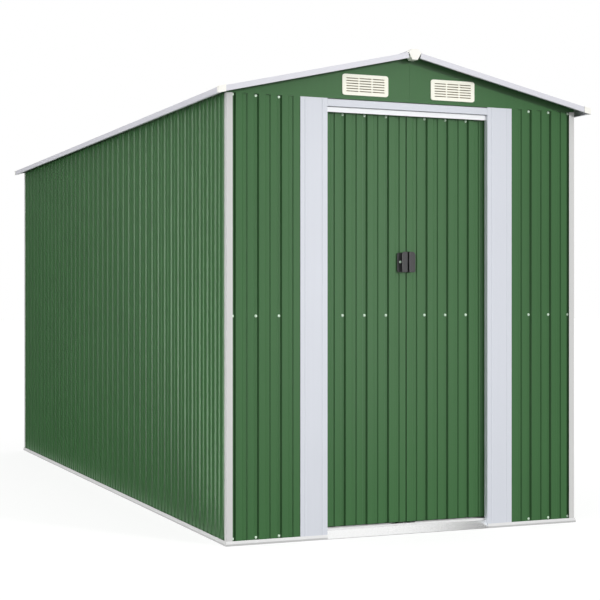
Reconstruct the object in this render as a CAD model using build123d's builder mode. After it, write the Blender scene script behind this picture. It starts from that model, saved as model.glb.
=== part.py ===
"""Garden storage shed of folded and ribbed steel sheet, with two sliding doors.

Millimetres. The front faces -Y, X runs to the right, Z is up, and the origin lies on
the ground under the middle of the shed.
"""

import os
from math import ceil, cos, floor, hypot, radians, tan

from build123d import *

os.makedirs("parts", exist_ok=True)

# Overall sizes
wall_width = 1780
wall_length = 4300
gable_foot = 1979
eave_rise = 26.6
roof_pitch = 12.75
eave_reach = 55
verge_reach = 56

# Sheet and its grooves: a deep one, which takes the screws, and a shallow one by turns
sheet = 0.6
rib_pitch = 109
deep_groove = 10
deep_floor = 14
deep_run = 5
shallow_groove = 5
shallow_floor = 16
shallow_run = 4
side_first_groove = 42
front_first_groove = 31

# Folded frame pieces
frame = 1.0
post_leg = 28
rail_lip_reach = 6
rail_lip_height = 21
rail_lip_hem = 10
rail_lip_gap = 2.4
rail_upstand = 45
rail_width = 45
mid_rail_height = 1003
mid_rail_width = 32
mid_rail_depth = 20
front_rail_depth = 10
top_rail_drop = 60
top_rail_flange = 30
rail_end_gap = 2
anchor_radius = 4.5
anchor_inset = 150

# Doorway
doorway_width = 821
door_recess = 33
jamb_width = 131.5
jamb_return = 27.5
jamb_bead_depth = 1.2
jamb_bead_width = 9
jamb_bead_shares = (0.18, 0.82)
fit_gap = 0.3

# Header, track and sill
header_height = 35
header_top_gap = 4
track_depth = 53
track_band_drop = 60
track_floor_drop = 39.5
track_groove = 10
track_slot = 13
track_back_lip = 8
sill_ramp_top = 35
sill_lip_top = 45.5
sill_lip_setback = 23
sill_hem = 3
sill_slot_floor = 24
sill_slot_width = 35
sill_back_height = 44

# Doors
door_overlap = 29.5
door_meeting_gap = 5.2
door_bottom = 50.5
door_top_drop = 49
door_first_groove = 99.5
door_rail_width = 34
door_rail_depth = 20
hanger_length = 40
hanger_stem = 4
hanger_shoe = 24
hanger_shoe_height = 18
hanger_inset = 70
guide_length = 25
guide_drop = 22
guide_inset = 18
guide_side_gap = 1.5

# Pull handles
handle_foot = 1201
handle_height = 94
handle_width = 42
handle_grip = 27
handle_reach = 26
handle_plate = 3
handle_wall = 4
handle_corner = 9
handle_edge = 1.2
handle_plate_drop = 4
handle_edge_gap = 2

# Gables and vents
gable_sheet = 0.8
gable_seam = 0.5
vent_width = 229
vent_height = 95
vent_depth = 5
vent_corner = 12
vent_offset = 224
vent_rise = 66
vent_columns = 3
vent_rows = 6
vent_slot_width = 59.5
vent_slot_height = 4
vent_column_pitch = 65.5
vent_row_pitch = 11.7
vent_rim = 13
vent_blade = 1.4
vent_blade_root = 0.4
vent_blade_run = 4.6
vent_blade_rise = 2.6

# Roof
roof_ridge_gap = 8
trim = 1.0
trim_flange = 30
trim_return = 12
verge_face = 24.5
verge_ridge_gap = 34
eave_face = 26.5
ridge_cap_reach = 90
ridge_foot = 25
ridge_crown = 15
ridge_rise = 11
beam_width = 50
beam_drop = 25
purlin_offset = 450
purlin_leg = 30

# Plastic caps on the roof corners and the ends of the ridge
cap_wall = 2
cap_eave_length = 20
cap_verge_length = 33
cap_drop = 27.2
ridge_cap_length = 36
ridge_end_reach = 33
ridge_end_foot = 13
ridge_end_drop = 39
ridge_end_depth = 42

# Planes and heights that the pieces share
half_width = wall_width / 2
half_length = wall_length / 2
half_doorway = doorway_width / 2
face_x = half_width - frame
face_y = half_length - frame
back_x = face_x - deep_groove - sheet
back_y = face_y - deep_groove - sheet
door_face = half_length - door_recess
door_back = door_face - deep_groove - sheet
eave_x = half_width + eave_reach
verge_y = half_length + verge_reach
slope = tan(radians(roof_pitch))
slope_cosine = cos(radians(roof_pitch))
ridge_height = gable_foot + eave_rise + slope * half_width
roof_build_up = (trim + deep_groove + sheet) / slope_cosine
door_top = gable_foot - door_top_drop
track_band_foot = gable_foot - track_band_drop
track_floor = gable_foot - track_floor_drop
track_back = back_y - track_depth
track_end = back_x - top_rail_flange - rail_end_gap
slot_back = track_back + track_back_lip
slot_front = slot_back + track_slot
sill_lip = half_length - sill_lip_setback


def roof_top(x):
    """Height of the top face of the roof trim at a distance from the ridge."""
    return ridge_height - slope * abs(x)


def roof_under(x):
    """Height of the underside of the roof sheet's grooves."""
    return roof_top(x) - roof_build_up


def folded(path, thickness):
    """Closed outline of sheet folded along a path, thickened to its left, or right if negative."""
    steps = []
    for (x0, y0), (x1, y1) in zip(path, path[1:]):
        scale = thickness / hypot(x1 - x0, y1 - y0)
        steps.append((-(y1 - y0) * scale, (x1 - x0) * scale))
    outline = []
    for (x, y), (ax, ay), (bx, by) in zip(path, steps[:1] + steps, steps + steps[-1:]):
        mitre = thickness**2 / (thickness**2 + ax * bx + ay * by)
        outline.append((x + (ax + bx) * mitre, y + (ay + by) * mitre))
    return list(path) + outline[::-1]


def ribs(start, stop, first_deep, shallow=True):
    """Places along a sheet, with how far each lies behind its face."""
    half_pitch = rib_pitch / 2
    path = [(start, 0)]
    first = ceil((start - first_deep) / half_pitch)
    last = floor((stop - first_deep) / half_pitch)
    for turn in range(first, last + 1):
        centre = first_deep + turn * half_pitch
        deep = turn % 2 == 0
        depth = deep_groove if deep else shallow_groove
        half_floor = (deep_floor if deep else shallow_floor) / 2
        reach = half_floor + (deep_run if deep else shallow_run)
        if centre - reach <= start or centre + reach >= stop or not (deep or shallow):
            continue
        path += [(centre - reach, 0), (centre - half_floor, depth)]
        path += [(centre + half_floor, depth), (centre + reach, 0)]
    return path + [(stop, 0)]


def save(block, node):
    """Labels a finished node and writes it."""
    block.part.label = node
    export_step(block.part, f"parts/{node}.step")


def strips(node, *runs):
    """A node of folded strips, each a plane, a path, a signed thickness and a length."""
    with BuildPart() as piece:
        for plane, path, thickness, length in runs:
            with BuildSketch(plane):
                with BuildLine():
                    Polyline(*folded(path, thickness), close=True)
                make_face()
            extrude(amount=length)
    save(piece, node)


def channel(back, side, low, high, depth):
    """Path of a channel whose web stands at back and whose flanges run towards side."""
    return [(back + side * depth, low), (back, low), (back, high), (back + side * depth, high)]


def along_x(start):
    """Plane for a section in Y and Z that runs towards +X."""
    return Plane.YZ.offset(start)


def along_y(start):
    """Plane for a section in X and Z that starts at the front and runs towards the back."""
    return Plane((0, start, 0), x_dir=(-1, 0, 0), z_dir=(0, 1, 0))


# Base rails: an outer lip that leans in, a trough for the wall sheet, a doubled upstand and a foot


def rail_outline(face):
    """Section of a base rail on the inner side of a wall face at a positive place."""
    lip = face + rail_lip_reach
    stand = face - frame - deep_groove - sheet
    foot = face - rail_width
    lip_path = [(lip, 0), (lip, rail_lip_hem), (face + rail_lip_gap, rail_lip_height)]
    return folded(lip_path, frame)[:-1] + [
        (lip - frame, frame),
        (stand, frame),
        (stand, rail_upstand),
        (stand - 2 * frame, rail_upstand),
        (stand - 2 * frame, frame),
        (foot, frame),
        (foot, 0),
    ]


corner_x = half_width + rail_lip_reach
corner_y = half_length + rail_lip_reach
anchor_x = half_width - (rail_width + deep_groove + 3 * frame + sheet) / 2
anchor_y = half_length - anchor_inset
doorway_cut = doorway_width + 2 * (frame + fit_gap)

for node, side in (("left_base_rail", -1), ("right_base_rail", 1)):
    with BuildPart() as side_rail:
        with BuildSketch(along_y(-corner_y)):
            with BuildLine():
                Polyline(*[(-side * x, z) for x, z in rail_outline(half_width)], close=True)
            make_face()
        extrude(amount=2 * corner_y)
        for end in (-1, 1):
            mitre_plane = Plane((side * corner_x, end * corner_y, 0), z_dir=(side, -end, 0))
            split(bisect_by=mitre_plane, keep=Keep.TOP)
        with Locations((side * anchor_x, anchor_y, frame), (side * anchor_x, -anchor_y, frame)):
            Hole(anchor_radius)
    save(side_rail, node)

for node, end in (("front_base_rail", -1), ("back_base_rail", 1)):
    with BuildPart() as end_rail:
        with BuildSketch(along_x(-corner_x)):
            with BuildLine():
                Polyline(*[(end * y, z) for y, z in rail_outline(half_length)], close=True)
            make_face()
        extrude(amount=2 * corner_x)
        for side in (-1, 1):
            mitre_plane = Plane((side * corner_x, end * corner_y, 0), z_dir=(-side, end, 0))
            split(bisect_by=mitre_plane, keep=Keep.TOP)
        if end < 0:
            with BuildSketch(Plane.XY.offset(frame)):
                with Locations((0, -half_length)):
                    Rectangle(doorway_cut, 2 * rail_width)
            extrude(amount=rail_upstand, mode=Mode.SUBTRACT)
    save(end_rail, node)

# Corner posts

for depth_name, end in (("front", -1), ("back", 1)):
    for side_name, side in (("left", -1), ("right", 1)):
        strips(
            f"{depth_name}_{side_name}_post",
            (
                Plane.XY.offset(frame),
                [
                    (side * (half_width - post_leg), end * half_length),
                    (side * half_width, end * half_length),
                    (side * half_width, end * (half_length - post_leg)),
                ],
                -side * end * frame,
                gable_foot - frame,
            ),
        )

# Ribbed wall sheets, which stand in the troughs of the base rails

side_wall_top = roof_under(face_x) - frame - fit_gap
side_wall_start = face_y - frame
wall_floor = Plane.XY.offset(frame)

for node, side in (("left_wall", -1), ("right_wall", 1)):
    profile = ribs(-side_wall_start, side_wall_start, -half_length + side_first_groove)
    path = [(side * (face_x - depth), y) for y, depth in profile]
    strips(node, (wall_floor, path, side * sheet, side_wall_top - frame))

end_wall_start = back_x - fit_gap
back_profile = ribs(-end_wall_start, end_wall_start, rib_pitch / 2)
back_path = [(x, face_y - depth) for x, depth in back_profile]
strips("back_wall", (wall_floor, back_path, -sheet, gable_foot - frame))

front_wall_end = half_doorway + frame + fit_gap
for node, side in (("front_wall_left", -1), ("front_wall_right", 1)):
    profile = ribs(front_wall_end, end_wall_start, half_width - front_first_groove)
    path = [(side * x, depth - face_y) for x, depth in profile]
    strips(node, (wall_floor, path, side * sheet, gable_foot - frame))

# Jamb strips: a beaded cover over the sheet's edge, with a return into the doorway

for node, side in (("door_jamb_left", -1), ("door_jamb_right", 1)):
    strip_path = [(half_doorway, jamb_return - half_length), (half_doorway, -half_length)]
    for share in jamb_bead_shares:
        middle = half_doorway + share * jamb_width
        strip_path += [
            (middle - jamb_bead_width / 2, -half_length),
            (middle, -half_length - jamb_bead_depth),
            (middle + jamb_bead_width / 2, -half_length),
        ]
    strip_path.append((half_doorway + jamb_width, -half_length))
    with BuildPart() as jamb:
        with BuildSketch(wall_floor):
            with BuildLine():
                Polyline(*folded([(side * x, y) for x, y in strip_path], side * frame), close=True)
            make_face()
        extrude(amount=gable_foot - frame)
        with BuildSketch(Plane.XY.offset(track_band_foot - fit_gap)):
            with Locations((side * half_doorway, -back_y + jamb_return / 2 - fit_gap)):
                Rectangle(jamb_return, jamb_return)
        extrude(amount=gable_foot, mode=Mode.SUBTRACT)
    save(jamb, node)

# Header over the doorway, and the track behind it, which runs the width of the front and
# is grooved under the header

header_end = half_doorway - fit_gap
header_foot = gable_foot - header_height
header_top = gable_foot - header_top_gap
track_ledge = track_floor + frame
groove_back = back_y - track_groove
strips(
    "door_header",
    (
        along_x(-header_end),
        [
            (-back_y, header_foot),
            (-half_length, header_foot),
            (-half_length, header_top),
            (-back_y, header_top),
        ],
        -frame,
        2 * header_end,
    ),
)

with BuildPart() as door_track:
    with BuildSketch(along_x(-track_end)):
        with BuildLine():
            Polyline(
                (-back_y, track_band_foot),
                (-back_y, track_ledge),
                (-groove_back, track_ledge),
                (-groove_back, header_foot),
                (-back_y, header_foot),
                (-back_y, gable_foot),
                (-track_back, gable_foot),
                (-track_back, track_floor),
                (-slot_back, track_floor),
                (-slot_back, track_ledge),
                (-track_back - frame, track_ledge),
                (-track_back - frame, gable_foot - frame),
                (-back_y + frame, gable_foot - frame),
                (-back_y + frame, header_foot + frame),
                (-groove_back + frame, header_foot + frame),
                (-groove_back + frame, track_ledge),
                (-slot_front, track_ledge),
                (-slot_front, track_floor),
                (-back_y + frame, track_floor),
                (-back_y + frame, track_band_foot),
                close=True,
            )
        make_face()
    extrude(amount=2 * track_end)
save(door_track, "door_track")

# Sill: a ramp up to a hemmed lip, and a slot for the guide shoes behind it

sill_slot_front = sill_lip - sill_hem
sill_slot_back = sill_slot_front - sill_slot_width
strips(
    "door_sill",
    (
        along_x(-header_end),
        [
            (-corner_y, 2 * frame),
            (-sill_lip, sill_ramp_top),
            (-sill_lip, sill_lip_top),
            (-sill_slot_front, sill_lip_top),
            (-sill_slot_front, sill_slot_floor),
            (-sill_slot_back, sill_slot_floor),
            (-sill_slot_back, sill_back_height),
        ],
        -frame,
        2 * header_end,
    ),
)

# Rails on the walls: one at middle height and one under the roof

mid_low = mid_rail_height - mid_rail_width / 2
mid_high = mid_rail_height + mid_rail_width / 2
side_rail_start = back_y - front_rail_depth - rail_end_gap

for node, side in (("left_wall_rails", -1), ("right_wall_rails", 1)):
    top_path = [
        (-side * back_x, gable_foot - top_rail_drop),
        (-side * back_x, roof_under(back_x)),
        (-side * (back_x - top_rail_flange), roof_under(back_x - top_rail_flange)),
    ]
    strips(
        node,
        (
            along_y(-side_rail_start),
            channel(-side * back_x, side, mid_low, mid_high, mid_rail_depth),
            -side * frame,
            2 * side_rail_start,
        ),
        (along_y(-back_y), top_path, -side * frame, 2 * back_y),
    )

end_rail_end = back_x - mid_rail_depth - rail_end_gap
strips(
    "back_wall_rails",
    (
        along_x(-end_rail_end),
        channel(back_y, -1, mid_low, mid_high, mid_rail_depth),
        frame,
        2 * end_rail_end,
    ),
    (
        along_x(-track_end),
        [(back_y, gable_foot - top_rail_drop), (back_y, gable_foot), (back_y - top_rail_flange, gable_foot)],
        frame,
        2 * track_end,
    ),
)

front_rail_length = end_rail_end - front_wall_end
strips(
    "front_wall_rails",
    *[
        (along_x(start), channel(-back_y, 1, mid_low, mid_high, front_rail_depth), -frame, front_rail_length)
        for start in (-end_rail_end, front_wall_end)
    ],
)

# Gables of two plain halves, each with a hole behind its vent, whose slots have sloping blades

vent_middle = gable_foot + vent_rise
vent_hole_width = vent_width - 2 * vent_rim
vent_hole_height = vent_height - 2 * vent_rim
blade_length = (vent_columns - 1) * vent_column_pitch + vent_slot_width
blade_root = -vent_slot_height / 2 - vent_blade_root
blade_top = blade_root + vent_blade_rise

for name, end in (("front", -1), ("back", 1)):
    gable_plane = Plane((0, end * face_y, 0), x_dir=(-end, 0, 0), z_dir=(0, end, 0))
    with BuildPart() as gable:
        with BuildSketch(gable_plane):
            for side in (-1, 1):
                with BuildLine():
                    Polyline(
                        (side * gable_seam / 2, gable_foot),
                        (side * face_x, gable_foot),
                        (side * face_x, roof_under(face_x) - fit_gap),
                        (side * gable_seam / 2, roof_under(gable_seam / 2) - fit_gap),
                        close=True,
                    )
                make_face()
            with Locations((-vent_offset, vent_middle), (vent_offset, vent_middle)):
                Rectangle(vent_hole_width, vent_hole_height, mode=Mode.SUBTRACT)
        extrude(amount=-gable_sheet)
    save(gable, f"{name}_gable_panels")

    with BuildPart() as vents:
        with BuildSketch(gable_plane):
            for side in (-1, 1):
                with Locations((side * vent_offset, vent_middle)):
                    RectangleRounded(vent_width, vent_height, vent_corner)
                    with GridLocations(vent_column_pitch, vent_row_pitch, vent_columns, vent_rows):
                        Rectangle(vent_slot_width, vent_slot_height, mode=Mode.SUBTRACT)
        extrude(amount=vent_depth)
        for side in (-1, 1):
            with BuildSketch(along_x(side * vent_offset - blade_length / 2)):
                with Locations((end * face_y, vent_middle)):
                    with GridLocations(0, vent_row_pitch, 1, vent_rows):
                        Polygon(
                            (0, blade_root),
                            (0, blade_root - vent_blade),
                            (-end * vent_blade_run, blade_top - vent_blade),
                            (-end * vent_blade_run, blade_top),
                            align=None,
                        )
            extrude(amount=blade_length)
    save(vents, f"{name}_vents")

# Roof sheets, with the ribs running down each slope


def slope_plane(side, start):
    """Plane square to one slope: local X lies along the shed and local Y stands off the roof."""
    down = Vector(side * slope_cosine, 0, -slope * slope_cosine)
    return Plane((0, 0, ridge_height), x_dir=(0, side, 0), z_dir=down).offset(start)


sheet_end = (eave_x - trim - fit_gap) / slope_cosine
roof_sheet_y = verge_y - trim - fit_gap

for node, side in (("roof_left", -1), ("roof_right", 1)):
    profile = ribs(-roof_sheet_y, roof_sheet_y, 0, shallow=False)
    path = [(y, -trim - depth) for y, depth in profile]
    strips(node, (slope_plane(side, roof_ridge_gap), path, -sheet, sheet_end - roof_ridge_gap))

# Ridge cap over both sheets, and the beams under them

ridge_half = verge_y - trim_flange - fit_gap
strips(
    "ridge_cap",
    (
        along_y(-ridge_half),
        [
            (-ridge_cap_reach, roof_top(ridge_cap_reach)),
            (-ridge_foot, roof_top(ridge_foot)),
            (-ridge_crown, roof_top(ridge_crown) + ridge_rise),
            (ridge_crown, roof_top(ridge_crown) + ridge_rise),
            (ridge_foot, roof_top(ridge_foot)),
            (ridge_cap_reach, roof_top(ridge_cap_reach)),
        ],
        -trim,
        2 * ridge_half,
    ),
)

beam_half = beam_width / 2
beam_end = face_y - gable_sheet - fit_gap
purlin_high = purlin_offset - purlin_leg / 2
purlin_low = purlin_offset + purlin_leg / 2
strips(
    "roof_beams",
    (
        along_y(-beam_end),
        [
            (-beam_half, roof_under(beam_half) - beam_drop),
            (-beam_half, roof_under(beam_half)),
            (0, roof_under(0)),
            (beam_half, roof_under(beam_half)),
            (beam_half, roof_under(beam_half) - beam_drop),
        ],
        -frame,
        2 * beam_end,
    ),
    *[
        (
            along_y(-beam_end),
            [
                (side * purlin_low, roof_under(purlin_low)),
                (side * purlin_high, roof_under(purlin_high)),
                (side * purlin_high, roof_under(purlin_high) - purlin_leg),
            ],
            side * frame,
            2 * beam_end,
        )
        for side in (-1, 1)
    ],
)

# Roof trim: channels along the eaves, without their top flange at the ends, and up both gables

for node, side in (("left_eave_trim", -1), ("right_eave_trim", 1)):
    eave_foot = roof_top(eave_x) - eave_face
    path = [
        (-side * (eave_x - trim_flange), roof_top(eave_x - trim_flange)),
        (-side * eave_x, roof_top(eave_x)),
        (-side * eave_x, eave_foot),
        (-side * (eave_x - trim_return), eave_foot),
    ]
    strips(
        node,
        (along_y(-ridge_half), path, side * trim, 2 * ridge_half),
        (along_y(-roof_sheet_y), path[1:], side * trim, 2 * roof_sheet_y),
    )

for name, end in (("front", -1), ("back", 1)):
    strips(
        f"{name}_verge_trims",
        *[
            (
                slope_plane(side, verge_ridge_gap),
                [
                    (side * end * (verge_y - trim_flange), 0),
                    (side * end * verge_y, 0),
                    (side * end * verge_y, -verge_face),
                    (side * end * (verge_y - trim_return), -verge_face),
                ],
                -side * end * trim,
                sheet_end - verge_ridge_gap,
            )
            for side in (-1, 1)
        ],
    )

# Plastic caps over the roof corners

cap_lift = (cap_wall + fit_gap) / slope_cosine
cap_gap = fit_gap / slope_cosine
cap_outer_x = eave_x + fit_gap + cap_wall
cap_inner_x = eave_x - cap_verge_length
cap_outer_y = verge_y + fit_gap + cap_wall

with BuildPart() as corner_caps:
    for end in (-1, 1):
        for side in (-1, 1):
            for wall, lift, mode in ((0, cap_lift, Mode.ADD), (cap_wall, cap_gap, Mode.SUBTRACT)):
                cap_plane = Plane((0, end * (cap_outer_y - wall), 0), x_dir=(end, 0, 0), z_dir=(0, -end, 0))
                with BuildSketch(cap_plane):
                    with BuildLine():
                        Polyline(
                            (side * cap_inner_x, roof_top(cap_inner_x) - cap_drop),
                            (side * (cap_outer_x - wall), roof_top(cap_outer_x - wall) - cap_drop),
                            (side * (cap_outer_x - wall), roof_top(cap_outer_x - wall) + lift),
                            (side * cap_inner_x, roof_top(cap_inner_x) + lift),
                            close=True,
                        )
                    make_face()
                extrude(amount=cap_eave_length, mode=mode)
save(corner_caps, "roof_corner_caps")

# Plastic caps over the ends of the ridge: a hood with a tapered front, boxed in under the roof

hood_foot = ridge_foot + cap_wall
hood_crown = ridge_crown + cap_wall
hood_top = roof_top(ridge_crown) + ridge_rise + cap_lift
hood_eave = roof_top(ridge_end_reach) + cap_lift
front_foot = ridge_height - ridge_end_drop
front_taper = (ridge_end_reach - ridge_end_foot) / (hood_eave - front_foot)
box_top = roof_under(ridge_end_reach) - fit_gap
box_half = ridge_end_foot + front_taper * (box_top - front_foot)
hood_path = [
    (-ridge_end_reach, hood_eave),
    (-hood_foot, roof_top(hood_foot) + cap_lift),
    (-hood_crown, hood_top),
    (hood_crown, hood_top),
    (hood_foot, roof_top(hood_foot) + cap_lift),
    (ridge_end_reach, hood_eave),
]
box_path = [
    (-box_half, box_top),
    (-ridge_end_foot, front_foot),
    (ridge_end_foot, front_foot),
    (box_half, box_top),
]
with BuildPart() as ridge_end_caps:
    for end in (-1, 1):
        cap_plane = Plane((0, end * cap_outer_y, 0), x_dir=(end, 0, 0), z_dir=(0, -end, 0))
        for outline, depth in (
            (folded(hood_path, -cap_wall), ridge_cap_length),
            (folded(box_path, cap_wall), ridge_end_depth),
            ([*hood_path, (ridge_end_foot, front_foot), (-ridge_end_foot, front_foot)], cap_wall),
        ):
            with BuildSketch(cap_plane):
                with BuildLine():
                    Polyline(*outline, close=True)
                make_face()
            extrude(amount=depth)
save(ridge_end_caps, "ridge_end_caps")

# Sliding doors: ribbed sheet with a return at the meeting edge, rails behind it, hangers in the track,
# a guide shoe and a handle


def door_front(place):
    """Plane in X and Z at a distance towards the front, facing it."""
    return Plane((0, -place, 0), x_dir=(1, 0, 0), z_dir=(0, -1, 0))


for name, side in (("left", -1), ("right", 1)):
    door_start = door_meeting_gap / 2
    door_end = half_doorway + door_overlap
    door_low_x = min(side * door_start, side * door_end)

    profile = [(door_start, deep_groove + sheet)] + ribs(door_start, door_end, door_first_groove)
    path = [(side * x, depth - door_face) for x, depth in profile]
    strips(f"{name}_door_panel", (Plane.XY.offset(door_bottom), path, side * sheet, door_top - door_bottom))

    rail_heights = (
        (door_bottom, door_bottom + door_rail_width),
        (mid_low, mid_high),
        (door_top - door_rail_width, door_top),
    )
    strips(
        f"{name}_door_rails",
        *[
            (
                along_x(door_low_x),
                channel(-door_back, 1, low, high, door_rail_depth),
                -frame,
                door_end - door_start,
            )
            for low, high in rail_heights
        ],
    )

    with BuildPart() as runners:
        slot_middle = -(slot_front + slot_back) / 2
        shoe_foot = track_ledge + fit_gap
        hanger_places = (door_start + hanger_inset, door_end - hanger_inset)
        for place in hanger_places:
            with BuildSketch(along_x(side * place - hanger_length / 2)):
                with BuildLine():
                    Polyline(
                        (slot_middle - hanger_stem / 2, door_top),
                        (slot_middle + hanger_stem / 2, door_top),
                        (slot_middle + hanger_stem / 2, shoe_foot),
                        (slot_middle + hanger_shoe / 2, shoe_foot),
                        (slot_middle + hanger_shoe / 2, shoe_foot + hanger_shoe_height),
                        (slot_middle - hanger_shoe / 2, shoe_foot + hanger_shoe_height),
                        (slot_middle - hanger_shoe / 2, shoe_foot),
                        (slot_middle - hanger_stem / 2, shoe_foot),
                        close=True,
                    )
                make_face()
            extrude(amount=hanger_length)
        guide_x = side * (guide_inset + guide_length / 2)
        guide_y = -(sill_slot_front + sill_slot_back) / 2
        with BuildSketch(Plane.XY.offset(door_bottom)):
            with Locations((guide_x, guide_y)):
                Rectangle(guide_length, sill_slot_width - 2 * guide_side_gap)
        extrude(amount=-guide_drop)
    save(runners, f"{name}_door_runners")

    handle_inner = door_start + handle_edge_gap
    handle_middle = handle_foot + handle_height / 2
    plate_height = handle_height - handle_plate_drop
    with BuildPart() as handle:
        with BuildSketch(door_front(door_face)) as plate:
            with Locations((side * (handle_inner + handle_width / 2), handle_foot + plate_height / 2)):
                Rectangle(handle_width, plate_height)
            fillet(plate.vertices().group_by(Axis.X)[0 if side < 0 else -1], handle_corner)
        extrude(amount=handle_plate)
        with BuildSketch(door_front(door_face)):
            with Locations((side * (handle_inner + handle_wall / 2), handle_middle)):
                Rectangle(handle_wall, handle_height)
        extrude(amount=handle_reach)
        with BuildSketch(door_front(door_face + handle_reach - handle_wall)) as grip:
            with Locations((side * (handle_inner + handle_grip / 2), handle_middle)):
                Rectangle(handle_grip, handle_height)
            top_corners = grip.vertices().group_by(Axis.Y)[-1].sort_by(Axis.X)
            fillet(top_corners[0] if side < 0 else top_corners[-1], handle_corner)
        extrude(amount=handle_wall)
        chamfer(handle.faces().sort_by(Axis.Y)[0].edges(), handle_edge)
    save(handle, f"{name}_door_handle")
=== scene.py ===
"""Looks of a ribbed steel garden shed: paints, zinc, moulded plastic, screws and a plain studio.

Metres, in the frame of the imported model: the doors face -Y and Z is up.
"""

from math import radians

import bmesh
import bpy
from bpy.props import FloatProperty, FloatVectorProperty, IntProperty, PointerProperty
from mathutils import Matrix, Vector


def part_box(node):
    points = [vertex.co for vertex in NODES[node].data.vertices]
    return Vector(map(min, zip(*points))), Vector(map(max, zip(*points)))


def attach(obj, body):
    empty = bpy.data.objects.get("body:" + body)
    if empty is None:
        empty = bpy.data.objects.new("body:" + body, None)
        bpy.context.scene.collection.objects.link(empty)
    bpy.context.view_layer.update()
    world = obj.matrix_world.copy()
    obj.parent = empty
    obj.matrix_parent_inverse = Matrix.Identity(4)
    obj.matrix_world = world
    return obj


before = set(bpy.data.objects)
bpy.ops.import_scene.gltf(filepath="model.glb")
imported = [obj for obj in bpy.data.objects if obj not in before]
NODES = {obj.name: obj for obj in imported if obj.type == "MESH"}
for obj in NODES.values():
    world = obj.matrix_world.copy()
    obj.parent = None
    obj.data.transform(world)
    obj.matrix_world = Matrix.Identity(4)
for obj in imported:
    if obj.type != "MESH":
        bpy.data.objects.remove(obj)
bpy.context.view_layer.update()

bl_info = {
    "name": "Ribbed steel shed",
    "version": (1, 0, 0),
    "blender": (4, 5, 0),
    "location": "View3D > Sidebar > Shed",
    "description": "Finishes, screws and studio for a garden shed of ribbed steel sheet",
    "category": "Object",
}

POST_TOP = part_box("front_left_post")[1].z
TRACK_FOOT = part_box("door_track")[0].z

LEFT = Vector((-1, 0, 0))
RIGHT = Vector((1, 0, 0))
FRONT = Vector((0, -1, 0))
BACK = Vector((0, 1, 0))
UP = Vector((0, 0, 1))

# Ribbed or plain green sheets, by the way their painted side looks
SHEETS = {
    "left_wall": LEFT,
    "right_wall": RIGHT,
    "back_wall": BACK,
    "back_gable_panels": BACK,
    "front_wall_left": FRONT,
    "front_wall_right": FRONT,
    "front_gable_panels": FRONT,
    "left_door_panel": FRONT,
    "right_door_panel": FRONT,
    "roof_left": UP,
    "roof_right": UP,
}
WALLS = ("left_wall", "right_wall", "back_wall", "front_wall_left", "front_wall_right")
POSTS = ("front_left_post", "front_right_post", "back_left_post", "back_right_post")
BASE_RAILS = ("left_base_rail", "right_base_rail", "front_base_rail", "back_base_rail")
DOORWAY_PIECES = ("door_jamb_left", "door_jamb_right", "door_header")
ROOF_TRIM = ("ridge_cap", "left_eave_trim", "right_eave_trim", "front_verge_trims", "back_verge_trims")
ZINC_PIECES = (
    "left_wall_rails", "right_wall_rails", "back_wall_rails", "front_wall_rails",
    "roof_beams", "left_door_rails", "right_door_rails",
)
VENTS = ("front_vents", "back_vents")
ROOF_CAPS = ("roof_corner_caps", "ridge_end_caps")
DARK_PIECES = ("left_door_handle", "right_door_handle", "left_door_runners", "right_door_runners")

# How squarely a sheet's faces look outward: the painted side, and the slopes of its shallow grooves
PAINTED_FROM = -0.02
SLOPES_FROM, SLOPES_TO = 0.5, 0.9

# Patterns drawn out along a piece: upright marks of the rolling, and streaks along the sill
SHEET_MARKS = (55, 55, 0.8)
STRIP_MARKS = (70, 70, 1.5)
SILL_STREAKS = (1.5, 120, 120)

# Depths of the fine relief of each finish
SHEET_PEEL = 0.00003
STRIP_PEEL = 0.0001
STREAK_DEPTH = 0.00005
ZINC_RELIEF = 0.00015
SPARK_DEPTH = 0.00012
WEAR_DEPTH = 0.00008

# Shares of a screw head's height and radius
CROWN_SHARE = 0.4
DOME_SHARE = 0.4
FLAT_SHARE = 0.15
RECESS_SHARE = 0.05

# Depths that differ by less are one plane, and a groove is wider than its sheet is thick by more
SAME_PLANE = 0.00002
GROOVE_MARGIN = 0.001

# Lamps: place, aim, width and height, and the one kind of ray besides the camera's that doesn't see it
LAMPS = {
    "side_fill": ((-8, -1, 0.6), (-0.9, -0.5, 0.6), (3, 1), "visible_glossy"),
    "key": ((1.5, -5.8, 1.6), (-0.2, -2.15, 1.1), (0.5, 3.2), "visible_diffuse"),
    "rim": ((-4.4, -5.7, 1.6), (-0.9, -2.15, 1.1), (2.5, 3.2), "visible_diffuse"),
    "rim_foot": ((-2.9, -4, 0.01), (-2.9, -4, 1), (3.5, 3.4), "visible_diffuse"),
}
# Dark cards: place, turn, width and length
FLAGS = {
    "side_flag": ((-2.96, 9, 2.28), (0, radians(48.8), 0), (6.05, 22)),
    "back_flag": ((-4.9, 4, 3), (radians(90), 0, 0), (8, 6)),
    "sill_flag": ((2.27, -2.8, 2.2), (0, 0, 0), (1.6, 2)),
}
# The way that the sun shines, the floor's width and its drop below the rails, and how far the camera sees
SUN_WAY = Vector((-0.65, 1, -0.24))
FLOOR_SIZE = 120
FLOOR_DROP = 0.0005
VIEW_END = 500


def colour(title, about, default):
    """A colour that a user can change."""
    return FloatVectorProperty(
        name=title, description=about, subtype="COLOR", size=3, min=0, max=1, default=default
    )


def length(title, about, default):
    """A length that a user can change."""
    return FloatProperty(
        name=title, description=about, unit="LENGTH", min=0, precision=4, default=default
    )


def power(title, about, default):
    """A lamp's power that a user can change."""
    return FloatProperty(name=title, description=about, unit="POWER", min=0, default=default)


def amount(title, about, default):
    """A plain amount that a user can change."""
    return FloatProperty(name=title, description=about, min=0, default=default)


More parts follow.
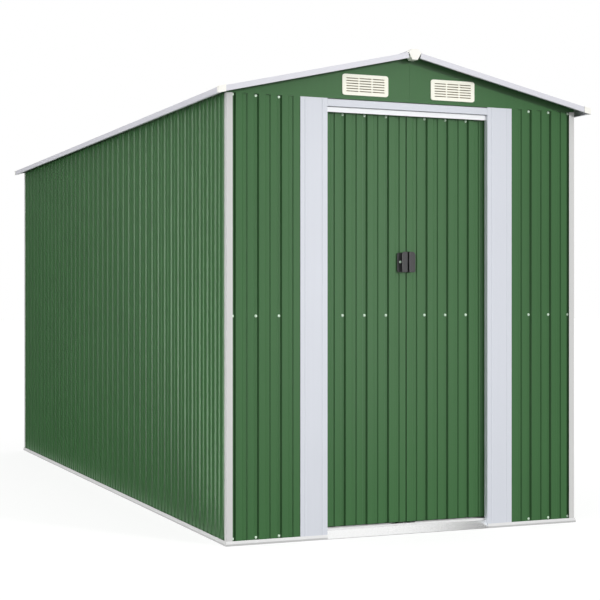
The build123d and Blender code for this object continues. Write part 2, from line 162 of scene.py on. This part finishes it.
def angle(title, about, degrees):
    """An angle that a user can change."""
    return FloatProperty(
        name=title, description=about, subtype="ANGLE", unit="ROTATION", default=radians(degrees)
    )


class ShedColours(bpy.types.PropertyGroup):
    """Colours of the finishes."""

    wall_green: colour("Wall green", "Paint on the outer side of the sheets", (0.045, 0.134, 0.045))
    backing_grey: colour("Backing grey", "Thin coat on the inner side of the sheets", (0.42, 0.45, 0.42))
    post_white: colour("Post white", "Paint on the corner posts", (0.62, 0.62, 0.61))
    rail_white: colour("Rail white", "Paint on the base rails", (0.71, 0.71, 0.71))
    jamb_white: colour("Jamb white", "Paint on the doorway's jambs and header", (0.655, 0.678, 0.738))
    trim_silver: colour("Trim silver", "Paint on the roof's edges and ridge", (0.70, 0.70, 0.755))
    track_white: colour("Track white", "Paint on the door track", (0.90, 0.91, 0.93))
    sill_silver: colour("Sill silver", "Drawn metal of the sill", (0.94, 0.94, 0.94))
    zinc_grey: colour("Zinc grey", "Galvanised rails and beams", (0.72, 0.74, 0.76))
    vent_cream: colour("Vent cream", "Moulded vents", (0.99, 0.98, 0.86))
    # The darker, warmer tint inside the vents' slots is painted shade
    vent_slot_shade: colour("Vent dust", "Dust inside the vents' slots", (0.97, 0.82, 0.55))
    cap_white: colour("Cap white", "Moulded caps of the roof's corners and ridge", (0.965, 0.955, 0.895))
    handle_black: colour("Handle black", "Moulded handles and door runners", (0.026, 0.026, 0.027))
    screw_pale: colour("Screw pale", "Heads and washers of the screws", (0.78, 0.95, 0.78))


class ShedSizes(bpy.types.PropertyGroup):
    """Sizes and rows of the screws, and places where a finish changes."""

    sides: IntProperty(name="Sides", description="Facets round a screw", min=6, default=10)
    head_radius: length("Head radius", "Radius of a screw's domed head", 0.0046)
    head_height: length("Head height", "Height of the head over its washer", 0.0028)
    washer_radius: length("Washer radius", "Radius of the washer", 0.0062)
    washer_height: length("Washer height", "Thickness of the washer", 0.0010)
    foot_row: length("Foot row", "Height of the row at the base rail", 0.029)
    middle_row: length("Middle row", "Height of the row at the middle rail", 1.003)
    top_drop: length("Top row drop", "Top row of a wall, below the posts' tops", 0.007)
    door_drop: length("Door row drop", "Top row of a door, below the track's foot", 0.005)
    handle_plate: length("Handle plate", "Thickness of the plate under a handle's screw", 0.003)
    handle_inset: length("Handle inset", "Screw of a handle, from its inner edge", 0.026)
    roof_inset: length("Roof inset", "Rows on the roof, inward from the outer edges of the rails", 0.015)
    # The base rails' darker foot below this height is painted shade, not a real hem
    rail_foot_shade: length("Rail hem", "Height of the darker hem along the foot of the base rails", 0.008)
    # Above this fold the sill's darker tone is painted shade; it is also less metallic and rougher there
    sill_fold: length("Sill fold", "Height of the fold over which the sill is worn", 0.0345)
    vent_rim: length("Vent rim", "Width of the plain rim round a vent's slots", 0.013)
    # Depth behind a vent's face at which the painted shade inside its slots begins
    vent_face: length("Vent face", "Depth behind a vent's face at which the dust begins", 0.0004)


class ShedStudio(bpy.types.PropertyGroup):
    """Camera, lamps and surroundings."""

    eye: FloatVectorProperty(
        name="Eye", description="Place of the camera", subtype="TRANSLATION", unit="LENGTH",
        default=(-2.9728, -8.0008, 1.0754),
    )
    heading: angle("Heading", "Turn of the view to the right of +Y", 22.545)
    dip: angle("Dip", "Slope of the view below the horizon", 0.0213)
    lens: FloatProperty(name="Lens", description="Focal length", unit="CAMERA", min=1, default=85.478)
    sky: amount("Sky", "Strength of the even light from all round", 0.75)
    sun: amount("Sun", "Strength of the low sun from the right", 1.8)
    sun_width: angle("Sun width", "Width of the sun, which softens its shadows", 6)
    side_fill: power("Side fill", "Wide lamp off the left side", 240)
    key: power("Key", "Tall lamp that shines back from the doors", 82)
    rim: power("Rim", "Wide lamp that shines back from the near side wall's ribs", 430)
    rim_foot: power("Rim foot", "The rim lamp's reach along the floor, for the foot of those ribs", 520)
    floor_tone: amount("Floor tone", "Grey of the floor", 0.3)
    floor_glow: amount("Floor glow", "Glow of the floor where it is seen out of doors", 0.8)
    flag_tone: amount("Flag tone", "Grey of the dark cards", 0.16)


class Wire:
    """An output of a node, which Python's sums extend with Math nodes."""

    def __init__(self, graph, socket):
        self.graph = graph
        self.socket = socket

    def _math(self, operation, first, second):
        return self.graph.node("ShaderNodeMath", {"operation": operation}, {0: first, 1: second})

    def __add__(self, other):
        return self._math("ADD", self, other)

    __radd__ = __add__

    def __mul__(self, other):
        return self._math("MULTIPLY", self, other)

    __rmul__ = __mul__

    def __sub__(self, other):
        return self._math("SUBTRACT", self, other)

    def __rsub__(self, other):
        return self._math("SUBTRACT", other, self)

    def __abs__(self):
        return self._math("ABSOLUTE", self, 0)

    def __gt__(self, other):
        return self._math("GREATER_THAN", self, other)

    def __lt__(self, other):
        return self._math("LESS_THAN", self, other)

    def __or__(self, other):
        return self._math("MAXIMUM", self, other)


class Graph:
    """A node tree that starts empty and is filled by node()."""

    def __init__(self, owner):
        owner.use_nodes = True
        self.owner = owner
        self.tree = owner.node_tree
        self.tree.nodes.clear()

    def node(self, kind, settings=None, inputs=None, output=0):
        """Adds a node with its settings and its sockets' values or links, and returns one output."""
        made = self.tree.nodes.new(kind)
        for name, value in (settings or {}).items():
            setattr(made, name, value)
        for key, value in (inputs or {}).items():
            if isinstance(value, Wire):
                self.tree.links.new(value.socket, made.inputs[key])
            else:
                made.inputs[key].default_value = value
        return Wire(self, made.outputs[output]) if made.outputs else None

    def seen(self):
        """1 for rays that show the surroundings, straight or reflected, and 0 for those that light."""
        rays = [
            self.node("ShaderNodeLightPath", output=name)
            for name in ("Is Camera Ray", "Is Glossy Ray", "Is Transmission Ray")
        ]
        return rays[0] | rays[1] | rays[2]


class Finish(Graph):
    """The nodes of one material."""

    def __init__(self, name):
        super().__init__(bpy.data.materials.new(name))
        self.place = self.node("ShaderNodeTexCoord", output="Object")

    def noise(self, scale, detail=2.0, stretch=(1, 1, 1)):
        """Noise from 0 to 1 on the piece's own coordinates, stretched where asked."""
        place = self.node("ShaderNodeMapping", inputs={"Vector": self.place, "Scale": stretch})
        return self.node(
            "ShaderNodeTexNoise", inputs={"Vector": place, "Scale": scale, "Detail": detail}
        )

    def along(self, axis):
        """Place along one axis of the frame."""
        return self.node("ShaderNodeSeparateXYZ", inputs={0: self.place}, output=axis)

    def tinted(self, shade, tone):
        """A colour made lighter or darker by a tone that varies."""
        return self.node("ShaderNodeVectorMath", {"operation": "SCALE"}, {0: shade, "Scale": tone})

    def mix(self, share, first, second):
        """Two colours mixed by a share of the second."""
        # Sockets 4 and 5 and output 1 are the node's vector ones, which take colours of three values
        return self.node(
            "ShaderNodeMix", {"data_type": "VECTOR"}, {0: share, 4: first, 5: second}, output=1
        )

    def facing(self, outward):
        """How squarely a face looks outward: 1 full on, 0 sideways and -1 on the reverse."""
        normal = self.node("ShaderNodeNewGeometry", output="True Normal")
        return self.node(
            "ShaderNodeVectorMath", {"operation": "DOT_PRODUCT"}, {0: normal, 1: outward}, output="Value"
        )

    def grain(self, height, depth):
        """A normal that follows a fine relief of a depth in metres."""
        return self.node("ShaderNodeBump", inputs={"Distance": depth, "Height": height})

    def surface(self, **sockets):
        """Closes the material with its shader and returns it."""
        inputs = {
            name.replace("_", " ").title().replace("Ior", "IOR"): value for name, value in sockets.items()
        }
        shader = self.node("ShaderNodeBsdfPrincipled", inputs=inputs)
        self.node("ShaderNodeOutputMaterial", inputs={"Surface": shader})
        return self.owner


def sheet_paint(outward, colours):
    """Satin green paint, matt and dusty in the shallow grooves of both ends, and a pale coat inside."""
    finish = Finish("sheet_paint")
    facing = finish.facing(outward)
    cloud = finish.noise(1.6)
    marks = finish.noise(1.0, 3.0, SHEET_MARKS)
    paint = finish.tinted(colours.wall_green, 0.9 + 0.12 * cloud + 0.08 * marks)
    roughness = 0.34 + 0.1 * marks
    if outward.y:
        slopes = (facing > SLOPES_FROM) * (facing < SLOPES_TO)
        roughness = roughness + 0.55 * slopes
    backing = finish.tinted(colours.backing_grey, 0.9 + 0.2 * marks)
    peel = finish.noise(260, 1.0)
    return finish.surface(
        base_color=finish.mix(facing > PAINTED_FROM, backing, paint),
        roughness=roughness,
        specular_ior_level=0.15,
        normal=finish.grain(peel, SHEET_PEEL),
    )


def pale_paint(name, shade, roughness, foot_shade_height=0.0):
    """Smooth pale coating, cloudy and faintly marked by rolling, with painted shade at the foot if asked.
    """
    finish = Finish(name)
    cloud = finish.noise(2.3)
    marks = finish.noise(1.0, 3.0, STRIP_MARKS)
    tone = 0.95 + 0.06 * cloud + 0.04 * marks
    if foot_shade_height:
        # Painted shade: the coat is darker below this height, along the foot
        tone = tone - 0.28 * (finish.along("Z") < foot_shade_height)
    return finish.surface(
        base_color=finish.tinted(shade, tone),
        roughness=roughness - 0.05 + 0.1 * marks,
        specular_ior_level=0.35,
        normal=finish.grain(finish.noise(320, 1.0), STRIP_PEEL),
    )


def drawn_metal(shade, sizes):
    """Pale metal streaked along the doorway; above its fold the sill is darker, as painted shade, and
    duller.
    """
    finish = Finish("sill_metal")
    streaks = finish.noise(1.0, 3.0, SILL_STREAKS)
    shaded_lip = finish.along("Z") > sizes.sill_fold
    # Painted shade: above the fold the colour is darker; it is also less metallic and rougher
    return finish.surface(
        base_color=finish.tinted(shade, 0.98 + 0.03 * streaks - 0.33 * shaded_lip),
        metallic=0.8 - 0.6 * shaded_lip,
        roughness=0.22 + 0.08 * streaks + 0.15 * shaded_lip,
        normal=finish.grain(streaks, STREAK_DEPTH),
    )


def zinc(shade):
    """Galvanised steel, whose spangle shows as cells of differing tone and gloss."""
    finish = Finish("zinc")
    cells = finish.node(
        "ShaderNodeTexVoronoi", inputs={"Vector": finish.place, "Scale": 60.0}, output="Color"
    )
    spangle = finish.node("ShaderNodeSeparateColor", inputs={"Color": cells})
    cloud = finish.noise(9.0)
    return finish.surface(
        base_color=finish.tinted(shade, 0.86 + 0.14 * spangle + 0.06 * cloud),
        metallic=0.85,
        roughness=0.34 + 0.12 * spangle,
        normal=finish.grain(finish.noise(90, 2.0), ZINC_RELIEF),
    )


def inside_slots(finish, sizes):
    """1 in the vents' slots and 0 elsewhere. The vents lie alike left and right, and front and back."""
    spots = [vertex.co for vertex in NODES["back_vents"].data.vertices if vertex.co.x > 0]
    low, high = (Vector(map(end, zip(*spots))) for end in (min, max))
    middle, reach = (low + high) / 2, (high - low) / 2
    across = abs(abs(finish.along("X")) - middle.x) < reach.x - sizes.vent_rim
    upright = abs(finish.along("Z") - middle.z) < reach.z - sizes.vent_rim
    deep = abs(finish.along("Y")) < high.y - sizes.vent_face
    return across * upright * deep


def moulded(name, shade, slot_shade=None, sizes=None):
    """Moulded plastic with a fine sparked grain, and painted shade, a darker warm tint, in a vent's
    slots.
    """
    finish = Finish(name)
    cloud = finish.noise(14.0)
    grain = finish.noise(900, 2.0)
    # Painted shade: a darker, warmer tint inside the vent's slots
    plastic = finish.mix(inside_slots(finish, sizes), shade, slot_shade) if slot_shade else shade
    return finish.surface(
        base_color=finish.tinted(plastic, 0.94 + 0.08 * cloud + 0.04 * grain),
        roughness=0.45 + 0.1 * grain,
        specular_ior_level=0.3,
        normal=finish.grain(grain, SPARK_DEPTH),
    )


def screw_metal(shade):
    """Screw heads with a pale coat, a little worn from spot to spot."""
    finish = Finish("screw_metal")
    wear = finish.noise(240, 2.0)
    return finish.surface(
        base_color=finish.tinted(shade, 0.88 + 0.2 * wear),
        roughness=0.4 + 0.16 * wear,
        normal=finish.grain(wear, WEAR_DEPTH),
    )


def grey(tone):
    """A grey as a colour socket takes it."""
    return (tone, tone, tone, 1)


def cover(names, material):
    """Gives CAD nodes a finish."""
    for name in names:
        for slot in NODES[name].material_slots:
            slot.material = material


def nothing_selected():
    """Leaves nothing selected, so that the next operator acts on its own piece alone."""
    bpy.ops.object.select_all(action="DESELECT")


def take(*pieces):
    """Selects just these pieces, with the first one active."""
    nothing_selected()
    for piece in pieces:
        piece.select_set(True)
    bpy.context.view_layer.objects.active = pieces[0]


def pick_faces(piece, test):
    """In edit mode, selects the faces that pass a test of their place or normal."""
    mesh = bmesh.from_edit_mesh(piece.data)
    for face in mesh.faces:
        face.select_set(test(face))
    mesh.select_flush_mode()
    bmesh.update_edit_mesh(piece.data)


def settle(piece, name, body, material):
    """Names a finished piece and puts it on its body with its finish."""
    piece.name = name
    piece.data.name = name
    piece.data.materials.clear()
    piece.data.materials.append(material)
    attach(piece, body)


def model_screw(sizes):
    """One screw: a washer, a domed head and the recess for the driver, standing on +Z at the origin."""
    nothing_selected()
    bpy.ops.mesh.primitive_cylinder_add(
        vertices=sizes.sides, radius=sizes.washer_radius, depth=sizes.washer_height,
        location=(0, 0, sizes.washer_height / 2),
    )
    screw = bpy.context.object
    bpy.ops.object.transform_apply()
    bpy.ops.object.mode_set(mode="EDIT")
    bpy.ops.mesh.select_mode(type="FACE")
    pick_faces(screw, lambda face: face.normal.z > 0.9)
    bpy.ops.mesh.inset(thickness=sizes.washer_radius - sizes.head_radius)
    crown = sizes.head_height * CROWN_SHARE
    side = sizes.head_height - crown
    bpy.ops.mesh.extrude_region_move(TRANSFORM_OT_translate={"value": (0, 0, side)})
    bpy.ops.mesh.inset(thickness=sizes.head_radius * DOME_SHARE, depth=crown)
    bpy.ops.mesh.inset(thickness=sizes.head_radius * FLAT_SHARE)
    bpy.ops.mesh.inset(thickness=sizes.head_radius * RECESS_SHARE, depth=-crown)
    bpy.ops.object.mode_set(mode="OBJECT")
    return screw


def screw_row(screw, first, step, count, outward):
    """A straight row of screws whose heads look outward."""
    take(screw)
    bpy.ops.object.duplicate()
    row = bpy.context.object
    row.rotation_euler = outward.to_track_quat("Z", "Y").to_euler()
    row.location = first
    bpy.ops.object.transform_apply()
    bpy.ops.object.modifier_add(type="ARRAY")
    array = row.modifiers[-1]
    array.count = count
    array.use_relative_offset = False
    array.use_constant_offset = True
    array.constant_offset_displace = step
    bpy.ops.object.modifier_apply(modifier=array.name)
    return row


def joined(rows):
    """All rows as one piece."""
    take(*rows)
    bpy.ops.object.join()
    return rows[0]


def deep_grooves(node, outward, along):
    """Middles of a sheet's deep grooves along it, and how far inward their floors lie."""
    points = [vertex.co for vertex in NODES[node].data.vertices]
    depths = sorted({round(-point.dot(outward), 5) for point in points})
    inner, floor = depths[-1], depths[-2]
    backmost = [point for point in points if -point.dot(outward) > inner - SAME_PLANE]
    edges = sorted({round(point.dot(along), 5) for point in backmost})
    least = inner - floor + GROOVE_MARGIN
    middles = [(low + high) / 2 for low, high in zip(edges[::2], edges[1::2]) if high - low > least]
    return middles, floor


def groove_screws(screw, node, outward, along, rows):
    """Screws in a sheet's deep grooves, in rows at given heights."""
    middles, floor = deep_grooves(node, outward, along)
    step = along * (middles[1] - middles[0])
    return [
        screw_row(screw, along * middles[0] - outward * floor + UP * height, step, len(middles), outward)
        for height in rows
    ]


class SHED_OT_sheets(bpy.types.Operator):
    """Paint the ribbed walls, doors, gables and roof"""

    bl_idname = "shed.sheets"
    bl_label = "Paint sheets"

    def execute(self, context):
        colours = context.scene.shed_colours
        paints = {}
        for node, outward in SHEETS.items():
            key = tuple(outward)
            if key not in paints:
                paints[key] = sheet_paint(outward, colours)
            cover([node], paints[key])
        return {"FINISHED"}


class SHED_OT_frame(bpy.types.Operator):
    """Finish the posts, rails, beams, doorway and roof edges"""

    bl_idname = "shed.frame"
    bl_label = "Finish frame and trim"

    def execute(self, context):
        colours = context.scene.shed_colours
        sizes = context.scene.shed_sizes
        cover(POSTS, pale_paint("post_paint", colours.post_white, 0.45))
        cover(BASE_RAILS, pale_paint("rail_paint", colours.rail_white, 0.4, sizes.rail_foot_shade))
        cover(DOORWAY_PIECES, pale_paint("jamb_paint", colours.jamb_white, 0.4))
        cover(ROOF_TRIM, pale_paint("trim_paint", colours.trim_silver, 0.4))
        cover(["door_track"], pale_paint("track_paint", colours.track_white, 0.4))
        cover(["door_sill"], drawn_metal(colours.sill_silver, sizes))
        cover(ZINC_PIECES, zinc(colours.zinc_grey))
        return {"FINISHED"}


class SHED_OT_plastics(bpy.types.Operator):
    """Finish the vents, roof caps, handles and door runners"""

    bl_idname = "shed.plastics"
    bl_label = "Finish plastics"

    def execute(self, context):
        colours = context.scene.shed_colours
        sizes = context.scene.shed_sizes
        cover(VENTS, moulded("vent_plastic", colours.vent_cream, colours.vent_slot_shade, sizes))
        cover(ROOF_CAPS, moulded("cap_plastic", colours.cap_white))
        cover(DARK_PIECES, moulded("dark_plastic", colours.handle_black))
        return {"FINISHED"}


class SHED_OT_screws(bpy.types.Operator):
    """Screw the wall sheets, doors, handles and roof to what carries them"""

    bl_idname = "shed.screws"
    bl_label = "Add screws"

    def execute(self, context):
        sizes = context.scene.shed_sizes
        metal = screw_metal(context.scene.shed_colours.screw_pale)
        screw = model_screw(sizes)
        wall_rows = (sizes.foot_row, sizes.middle_row, POST_TOP - sizes.top_drop)
        for node in WALLS:
            along = BACK if SHEETS[node].x else RIGHT
            rows = groove_screws(screw, node, SHEETS[node], along, wall_rows)
            settle(joined(rows), f"{node}_screws", "shed", metal)
        for side in ("left", "right"):
            rows = self.door_rows(screw, side, sizes)
            settle(joined(rows), f"{side}_door_screws", f"{side}_door", metal)
            rows = self.roof_rows(screw, side, sizes)
            settle(joined(rows), f"roof_{side}_screws", "shed", metal)
        bpy.data.objects.remove(screw)
        return {"FINISHED"}

    def door_rows(self, screw, side, sizes):
        """Rows on one door, and the screw that holds its handle."""
        heights = (sizes.middle_row, TRACK_FOOT - sizes.door_drop)
        rows = groove_screws(screw, f"{side}_door_panel", FRONT, RIGHT, heights)
        low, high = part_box(f"{side}_door_handle")
        across = high.x - sizes.handle_inset if side == "left" else low.x + sizes.handle_inset
        seat = Vector((across, high.y - sizes.handle_plate, (low.z + high.z) / 2))
        rows.append(screw_row(screw, seat, UP, 1, FRONT))
        return rows

    def roof_rows(self, screw, side, sizes):
        """Rows along one slope: over the wall's top rail and over the purlin."""
        node = f"roof_{side}"
        outward = max(NODES[node].data.polygons, key=lambda face: face.area * (face.normal.z > 0)).normal
        middles, floor = deep_grooves(node, outward, BACK)
        step = BACK * (middles[1] - middles[0])
        rows = []
        for carrier in (f"{side}_wall_rails", "roof_beams"):
            low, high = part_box(carrier)
            across = high.x - sizes.roof_inset if side == "right" else low.x + sizes.roof_inset
            first = Vector((across, middles[0], (-floor - outward.x * across) / outward.z))
            rows.append(screw_row(screw, first, step, len(middles), outward))
        return rows


class SHED_OT_studio(bpy.types.Operator):
    """Set up the floor, surroundings, lamps and camera"""

    bl_idname = "shed.studio"
    bl_label = "Set up studio"

    def execute(self, context):
        studio = context.scene.shed_studio
        context.scene.view_settings.view_transform = "Standard"
        self.surroundings(context.scene, studio)
        self.floor(studio)
        for name, (place, turn, size) in FLAGS.items():
            self.flag(name, place, turn, size, studio.flag_tone)
        self.low_sun(studio)
        for name, (place, aim, size, unseen) in LAMPS.items():
            self.lamp(name, place, aim, size, getattr(studio, name), unseen)
        nothing_selected()
        bpy.ops.object.camera_add(
            location=studio.eye, rotation=(radians(90) - studio.dip, 0, -studio.heading)
        )
        camera = context.object
        camera.name = "camera"
        camera.data.lens = studio.lens
        camera.data.clip_end = VIEW_END
        context.scene.camera = camera
        return {"FINISHED"}

    def surroundings(self, scene, studio):
        """An even sky, which is white wherever it is seen."""
        scene.world = bpy.data.worlds.new("studio")
        graph = Graph(scene.world)
        seen = graph.seen()
        sky = graph.node(
            "ShaderNodeBackground",
            inputs={"Color": (1, 1, 1, 1), "Strength": studio.sky + (1 - studio.sky) * seen},
        )
        graph.node("ShaderNodeOutputWorld", inputs={"Surface": sky})

    def floor(self, studio):
        """A wide pale floor, near white where it is seen out of doors, which keeps a soft shadow."""
        nothing_selected()
        bpy.ops.mesh.primitive_plane_add(size=FLOOR_SIZE, location=(0, 0, -FLOOR_DROP))
        floor = bpy.context.object
        floor.name = "floor"
        finish = Finish("floor_white")
        beside = abs(finish.along("X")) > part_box("right_wall")[1].x
        before = abs(finish.along("Y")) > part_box("back_wall")[1].y
        outdoors = beside | before
        matt = finish.node("ShaderNodeBsdfDiffuse", inputs={"Color": grey(studio.floor_tone)})
        glow = finish.node("ShaderNodeEmission", inputs={"Strength": studio.floor_glow})
        shown = finish.node("ShaderNodeAddShader", inputs={0: matt, 1: glow})
        both = finish.node("ShaderNodeMixShader", inputs={0: finish.seen() * outdoors, 1: matt, 2: shown})
        finish.node("ShaderNodeOutputMaterial", inputs={"Surface": both})
        floor.data.materials.append(finish.owner)

    def flag(self, name, place, turn, size, tone):
        """A dark card that only glossy surfaces see, which keeps the white surroundings off them."""
        nothing_selected()
        bpy.ops.mesh.primitive_plane_add(size=1, location=place, rotation=turn)
        flag = bpy.context.object
        flag.name = name
        flag.scale = (*size, 1)
        bpy.ops.object.transform_apply()
        finish = Finish(name)
        cloth = finish.node("ShaderNodeBsdfDiffuse", inputs={"Color": grey(tone)})
        finish.node("ShaderNodeOutputMaterial", inputs={"Surface": cloth})
        flag.data.materials.append(finish.owner)
        flag.visible_camera = flag.visible_diffuse = flag.visible_shadow = False

    def low_sun(self, studio):
        """Soft sun, low on the right, which throws the roof's shadow on the gable."""
        nothing_selected()
        turn = SUN_WAY.to_track_quat("-Z", "Y").to_euler()
        bpy.ops.object.light_add(type="SUN", rotation=turn)
        sun = bpy.context.object
        sun.name = "sun"
        sun.data.energy = studio.sun
        sun.data.angle = studio.sun_width
        sun.visible_glossy = False

    def lamp(self, name, place, aim, size, watts, unseen):
        """A soft rectangular lamp that neither the camera nor one other kind of ray sees."""
        nothing_selected()
        turn = (Vector(aim) - Vector(place)).to_track_quat("-Z", "Y").to_euler()
        bpy.ops.object.light_add(type="AREA", location=place, rotation=turn)
        lamp = bpy.context.object
        lamp.name = name
        lamp.data.shape = "RECTANGLE"
        lamp.data.size, lamp.data.size_y = size
        lamp.data.energy = watts
        lamp.visible_camera = False
        setattr(lamp, unseen, False)


class SHED_PT_sidebar(bpy.types.Panel):
    """Lists the shed's steps and settings"""

    bl_idname = "SHED_PT_sidebar"
    bl_label = "Ribbed steel shed"
    bl_space_type = "VIEW_3D"
    bl_region_type = "UI"
    bl_category = "Shed"

    def draw(self, context):
        for operator in OPERATORS:
            self.layout.operator(operator.bl_idname)
        for name, group in SETTINGS.items():
            box = self.layout.box()
            for field in group.__annotations__:
                box.prop(getattr(context.scene, name), field)


SETTINGS = {"shed_colours": ShedColours, "shed_sizes": ShedSizes, "shed_studio": ShedStudio}
OPERATORS = (SHED_OT_sheets, SHED_OT_frame, SHED_OT_plastics, SHED_OT_screws, SHED_OT_studio)
CLASSES = (*SETTINGS.values(), *OPERATORS, SHED_PT_sidebar)


def register():
    for made in CLASSES:
        bpy.utils.register_class(made)
    for name, group in SETTINGS.items():
        setattr(bpy.types.Scene, name, PointerProperty(type=group))


def unregister():
    for name in SETTINGS:
        delattr(bpy.types.Scene, name)
    for made in reversed(CLASSES):
        bpy.utils.unregister_class(made)


def main():
    register()
    bpy.ops.shed.sheets()
    bpy.ops.shed.frame()
    bpy.ops.shed.plastics()
    bpy.ops.shed.screws()
    bpy.ops.shed.studio()


if __name__ == "__main__":
    main()
